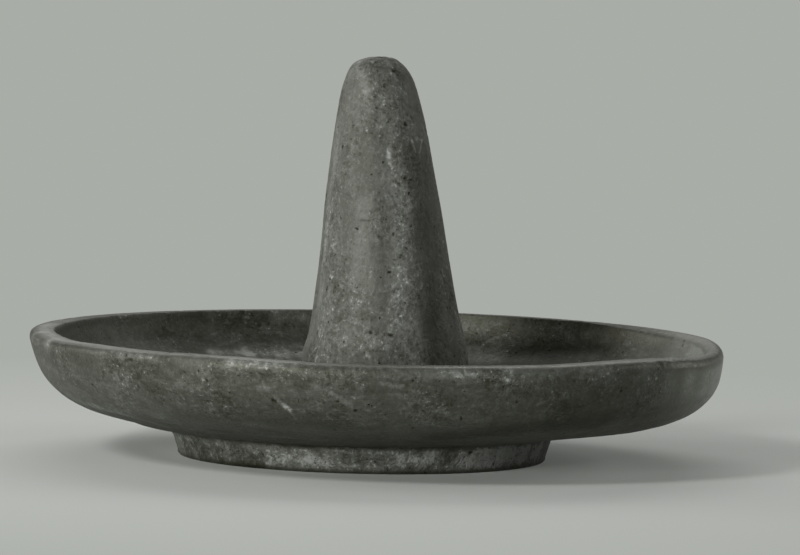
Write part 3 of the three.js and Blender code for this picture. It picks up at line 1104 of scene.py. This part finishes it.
def new_tree(owner):
    owner.use_nodes = True
    owner.node_tree.nodes.clear()
    return owner.node_tree


print("#808080 is", round(linear("#808080")[0], 3), "of full light")

# %% Coordinates that draw a pattern out
RING_SIZE = 0.07
RISE_OUTWARDS = 0.6
SHAFT_SQUEEZE = 0.5


def in_rings(tree, place):
    """Draws a pattern out round the axis, as a rubbing stone does that is swept round.

    The way round is measured on a ring of a fixed small size, so it is drawn out to suit."""
    flat = add(tree, "VectorMath", {0: place, 1: (1, 1, 0)}, operation="MULTIPLY")
    out = add(tree, "VectorMath", {0: flat}, operation="LENGTH").outputs["Value"]
    way = add(tree, "VectorMath", {0: flat}, operation="NORMALIZE")
    ring = add(tree, "VectorMath", {0: way, "Scale": RING_SIZE}, operation="SCALE")
    up = add(tree, "SeparateXYZ", {0: place}).outputs["Z"]
    lift = add(tree, "Math", {0: out, 1: RISE_OUTWARDS, 2: up}, operation="MULTIPLY_ADD")
    rise = add(tree, "CombineXYZ", {"Z": lift})
    return add(tree, "VectorMath", {0: ring, 1: rise}, operation="ADD")


def upright(tree, place):
    """Draws a pattern out up and down, as the strokes run on a shaft."""
    return add(tree, "Mapping", {"Vector": place, "Scale": (1, 1, SHAFT_SQUEEZE)})


print("way round drawn out", round(RIM_HALF_WIDTH * MM / RING_SIZE, 1), "times at the rim")


# %% Patterns of the stone
WORKED = ("tone", "polish", "pecking", "pits")
# Feature size in millimetres, octaves, gain and distortion of each noise
PATTERNS = {
    "clouds": (26, 2.0, 0.5, 0.3),
    "streaks": (10, 4.0, 0.8, 0.5),
    "mottle": (4.5, 2.0, 0.8, 0.6),
    "grit": (1.7, 1.5, 0.8, 0.4),
    "scuffs": (7, 3.0, 0.6, 1.5),
    "pores": (2.9, 1.0, 0.5, 0.0),
}
DRAWN_OUT = ("streaks", "scuffs")
# Bruised stone is grainier than rubbed stone
BRUISED_GRAIN, RUBBED_GRAIN = (0.65, 1.2), (1.0, 0.6)


def worked_stone(tree):
    """The values that the vertices carry, and how grainy they leave the stone."""
    worked = {}
    for label in WORKED:
        worked[label] = add(tree, "Attribute", attribute_name=label).outputs["Fac"]
    shares = []
    for label, (least, most) in {"pecking": BRUISED_GRAIN, "polish": RUBBED_GRAIN}.items():
        shares.append(add(tree, "MapRange", {0: worked[label], 3: least, 4: most}))
    grain = add(tree, "Math", {0: shares[0], 1: shares[1]}, operation="MULTIPLY")
    return worked, grain


def noises(tree, drawn_out):
    """The noise of each pattern, those in DRAWN_OUT on coordinates that draw them out."""
    place = add(tree, "TexCoord").outputs["Object"]
    drawn = drawn_out(tree, place)
    noise_of = {}
    for label, (size, octaves, gain, bend) in PATTERNS.items():
        settings = {"Vector": drawn if label in DRAWN_OUT else place, "Scale": grains_of(size)}
        settings |= {"Detail": octaves, "Roughness": gain, "Distortion": bend}
        noise_of[label] = add(tree, "TexNoise", settings)
    return noise_of


print("noises:", ", ".join(PATTERNS))

# %% Tone of the stone
# Scuffs are thin pale lines where their noise crosses its middle value
SCUFF_WIDTH, SCUFF_TONE = 0.016, 0.3
# Dents are painted darker by their depth: painted shade in the hollows
PIT_SHADE_TONE = -0.15
# Pale crystals and dark pocks sit at the two ends of the grit, and are drawn a little
# coarser than they are, so that they show: the levels of the noise, and the tone at each
SPECKS = {"crystals": (0.62, 0.78, 0.0, 0.75), "pocks": (0.24, 0.36, -0.8, 0.0)}
PORE_LEVELS, PORE_TONE = (0.22, 0.27), 1.4


def stone_tone(tree, worked, grain, noise_of, amounts):
    """How pale the stone is, and where its pores are."""
    layers = []
    for label, amount in amounts.items():
        centred = add(tree, "Math", {0: noise_of[label], 1: 0.5}, operation="SUBTRACT")
        strength = add(tree, "Math", {0: grain, 1: amount}, operation="MULTIPLY")
        layers.append((centred, strength))
    crossing = add(tree, "Math", {0: noise_of["scuffs"], 1: 0.5}, operation="SUBTRACT")
    distance = add(tree, "Math", {0: crossing}, operation="ABSOLUTE")
    scuff = add(tree, "MapRange", {0: distance, 2: SCUFF_WIDTH, 3: SCUFF_TONE, 4: 0.0})
    layers += [(scuff, grain), (worked["pits"], PIT_SHADE_TONE)]
    for levels in SPECKS.values():
        speck = add(tree, "MapRange", {0: noise_of["grit"], **dict(enumerate(levels, 1))})
        layers.append((speck, grain))
    tone = worked["tone"]
    for value, share in layers:
        tone = add(tree, "Math", {0: value, 1: share, 2: tone}, operation="MULTIPLY_ADD")
    low, high = PORE_LEVELS
    pore = add(tree, "MapRange", {0: noise_of["pores"], 1: low, 2: high, 3: PORE_TONE, 4: 0.0})
    return add(tree, "Math", {0: tone, 1: pore}, operation="SUBTRACT"), pore


print("specks:", ", ".join(SPECKS))

# %% Colour, fine relief and gloss
TONE_SPAN = 1.5
COLOUR_STOPS = (0.0, 0.3, 0.5, 0.7, 0.95)
# Relief finer than the mesh, as shares of the bump's depth in millimetres
FINE_RELIEF = {"mottle": 1.2, "grit": 0.5, "streaks": 0.8}
PORE_RELIEF = -0.3
BUMP_DEPTH = 0.5
MOTTLE_GLOSS, POLISH_GLOSS = 0.5, -0.08
# Values on unpolished and on polished stone
BUMP_STRENGTH, SPECULAR_LEVEL = (0.8, 0.35), (0.3, 0.5)
# Handling leaves a trace of grease, whose reflections are a little yellow
GREASE_TINT = (1.0, 1.0, 0.7, 1.0)


def stone_colour(tree, tone, colours):
    """The stone's colours from its darkest to its palest tone."""
    shade = add(tree, "MapRange", {0: tone, 1: -TONE_SPAN, 2: TONE_SPAN})
    ramp = add(tree, "ValToRGB", {0: shade})
    stops = ramp.color_ramp.elements
    stops[-1].position = COLOUR_STOPS[-1]
    for position in COLOUR_STOPS[1:-1]:
        stops.new(position)
    for stop, colour in zip(stops, colours):
        stop.color = linear(colour)
    return ramp


def fine_relief(tree, worked, grain, noise_of, pore):
    height = 0.0
    layers = [(noise_of[label], share) for label, share in FINE_RELIEF.items()]
    for value, share in layers + [(pore, PORE_RELIEF)]:
        height = add(tree, "Math", {0: value, 1: share, 2: height}, operation="MULTIPLY_ADD")
    height = add(tree, "Math", {0: height, 1: grain}, operation="MULTIPLY")
    rough, rubbed = BUMP_STRENGTH
    strength = add(tree, "MapRange", {0: worked["polish"], 3: rough, 4: rubbed})
    settings = {"Height": height, "Strength": strength, "Distance": BUMP_DEPTH * MM}
    return add(tree, "Bump", settings)


print("stops of the colour ramp:", COLOUR_STOPS)


# %% Basalt
def basalt(name, colours, drawn_out, amounts, roughness, polished):
    """Basalt from a dark to a pale tone. Rubbed parts are smoother and less grainy."""
    material = bpy.data.materials.new(name)
    tree = new_tree(material)
    worked, grain = worked_stone(tree)
    noise_of = noises(tree, drawn_out)
    tone, pore = stone_tone(tree, worked, grain, noise_of, amounts)
    gloss = roughness - MOTTLE_GLOSS / 2
    for value, share in ((noise_of["mottle"], MOTTLE_GLOSS), (worked["polish"], POLISH_GLOSS)):
        gloss = add(tree, "Math", {0: value, 1: share, 2: gloss}, operation="MULTIPLY_ADD")
    specular, greased = SPECULAR_LEVEL
    if polished:
        specular = add(tree, "MapRange", {0: worked["polish"], 3: specular, 4: greased})
    settings = {
        "Base Color": stone_colour(tree, tone, colours),
        "Roughness": gloss,
        "Specular IOR Level": specular,
        "Specular Tint": GREASE_TINT,
        "Normal": fine_relief(tree, worked, grain, noise_of, pore),
    }
    shader = add(tree, "BsdfPrincipled", settings)
    add(tree, "OutputMaterial", {"Surface": shader})
    print(name, "has", len(tree.nodes), "nodes")
    return material


# Basalt rubbed smooth round the bowl: dark, with a dull gloss that is brightest on the lip
ground_basalt = basalt(
    "ground_basalt",
    ("#15170f", "#33342c", "#4b4c46", "#676963", "#a1a39e"),
    in_rings,
    {"clouds": 0.9, "streaks": 2.2, "mottle": 1.7, "grit": 1.0},
    roughness=0.55,
    polished=True,
)
# Basalt left as the pecking stone bruised it: greyer, matt, and grained all over
pecked_basalt = basalt(
    "pecked_basalt",
    ("#191b14", "#40413b", "#5e5f5a", "#7a7c77", "#b2b4b0"),
    upright,
    {"clouds": 0.7, "streaks": 1.8, "mottle": 1.6, "grit": 1.0},
    roughness=0.66,
    polished=False,
)
bowl.data.materials.append(ground_basalt)
pestle.data.materials.append(pecked_basalt)

# %% [markdown]
# ## Stage and light
# The pieces stand on a plain pale floor that fades into an even background of the same grey,
# so there is no horizon. The light is that of a studio by a tall window: a soft lamp low in
# front on the left, which reaches in under the bowl as far as its foot, and a smaller share
# from higher up, which throws the pestle's shadow on the right wall of the bowl. A broad
# lamp behind and above lights the lip and lets the shadow on the floor stay pale. One strong
# lamp would be simpler, but it would leave the foot black. A white surface that squarely
# faces a lamp of share 1 renders white, and the shares add up to a plain level.

# %% Floor that fades into the background
BACKGROUND = "#a9ada7"
FLOOR_COLOUR = "#e8ebe6"
FLOOR_BOUNCE_COLOUR = "#b6b9b4"
FLOOR_RADIUS_M = 6.0
FADE_START, FADE_END, NEAR_SHARE = 0.18, 0.6, 0.15

floor_mesh = bmesh.new()
bmesh.ops.create_circle(floor_mesh, cap_ends=True, segments=96, radius=FLOOR_RADIUS_M)
floor_data = bpy.data.meshes.new("floor")
floor_mesh.to_mesh(floor_data)
floor_mesh.free()
floor = bpy.data.objects.new("floor", floor_data)
scene.collection.objects.link(floor)


def pale_floor():
    """Matt pale paper, which shows more of the background's own grey further out.

    The light that it throws up on the stone is less than the camera sees, as if the paper
    were small and the room round it dark."""
    material = bpy.data.materials.new("pale_floor")
    tree = new_tree(material)
    place = add(tree, "TexCoord").outputs["Object"]
    away = add(tree, "VectorMath", {0: place}, operation="LENGTH").outputs["Value"]
    further = add(tree, "MapRange", {0: away, 1: FADE_START, 2: FADE_END, 3: NEAR_SHARE})
    ray = add(tree, "LightPath").outputs
    rays = {0: ray["Is Camera Ray"], 1: ray["Is Glossy Ray"]}
    seen = add(tree, "Math", rays, operation="MAXIMUM")
    share = add(tree, "Math", {0: further, 1: seen}, operation="MULTIPLY")
    colours = {0: seen, 6: linear(FLOOR_BOUNCE_COLOUR), 7: linear(FLOOR_COLOUR)}
    paper = add(tree, "Mix", colours, data_type="RGBA")
    lit = add(tree, "BsdfDiffuse", {"Color": paper.outputs[2]})
    even = add(tree, "Emission", {"Color": linear(BACKGROUND), "Strength": 1.0})
    both = add(tree, "MixShader", {0: share, 1: lit, 2: even})
    add(tree, "OutputMaterial", {"Surface": both})
    return material


floor.data.materials.append(pale_floor())
print("floor", round(floor.dimensions.x, 1), "m across")

# %% World
BACKDROP_TOP = 0.42
BACKDROP_FADE = 0.6
BACKDROP_GLOW = 0.20
CEILING_GLOW = 0.04


def studio_world():
    """A pale backdrop all round, and a dark room above it. Only the camera sees it evenly."""
    world = bpy.data.worlds.new("studio")
    tree = new_tree(world)
    looking = add(tree, "TexCoord").outputs["Generated"]
    height = add(tree, "SeparateXYZ", {0: looking}).outputs["Z"]
    levels = {0: height, 1: BACKDROP_TOP * BACKDROP_FADE, 2: BACKDROP_TOP}
    levels |= {3: BACKDROP_GLOW, 4: CEILING_GLOW}
    glow = add(tree, "MapRange", levels)
    fill = add(tree, "Background", {"Color": (1, 1, 1, 1), "Strength": glow})
    shown = add(tree, "Background", {"Color": linear(BACKGROUND), "Strength": 1.0})
    ray = add(tree, "LightPath").outputs["Is Camera Ray"]
    mixed = add(tree, "MixShader", {0: ray, 1: fill, 2: shown})
    add(tree, "OutputWorld", {"Surface": mixed})
    return world


scene.world = studio_world()
print("world", scene.world.name, "has", len(scene.world.node_tree.nodes), "nodes")

# %% Lamps
LAMP_DISTANCE = 2.4
# name: (azimuth and elevation in degrees, width and height in metres, share)
LAMPS = {
    "window_low": (36, 6, (0.45, 0.5), 0.54),
    "window_high": (40, 33, (0.45, 0.5), 0.31),
    "overhead_back": (180, 40, (2.2, 1.2), 0.31),
    "side_left": (106, 12, (0.9, 0.8), 0.25),
    "side_right": (-112, 20, (1.6, 0.8), 0.20),
}


def lamp(name, azimuth, elevation, size, share):
    """A soft lamp that looks at the bowl. Azimuth 0 is the front and positive is left."""
    data = bpy.data.lights.new(name, "AREA")
    data.shape = "RECTANGLE"
    data.size, data.size_y = size
    data.energy = share * (math.pi * LAMP_DISTANCE) ** 2
    made = bpy.data.objects.new(name, data)
    made.visible_camera = False
    scene.collection.objects.link(made)
    azimuth, elevation = math.radians(azimuth), math.radians(elevation)
    level = math.cos(elevation)
    towards = Vector((-math.sin(azimuth) * level, -math.cos(azimuth) * level, math.sin(elevation)))
    made.location = Vector((0, 0, bowl_high.z)) + towards * LAMP_DISTANCE
    made.rotation_mode = "QUATERNION"
    made.rotation_quaternion = towards.to_track_quat("Z", "Y")


for name, values in LAMPS.items():
    lamp(name, *values)
scene.view_settings.view_transform = "Standard"
print("lamps:", ", ".join(LAMPS))
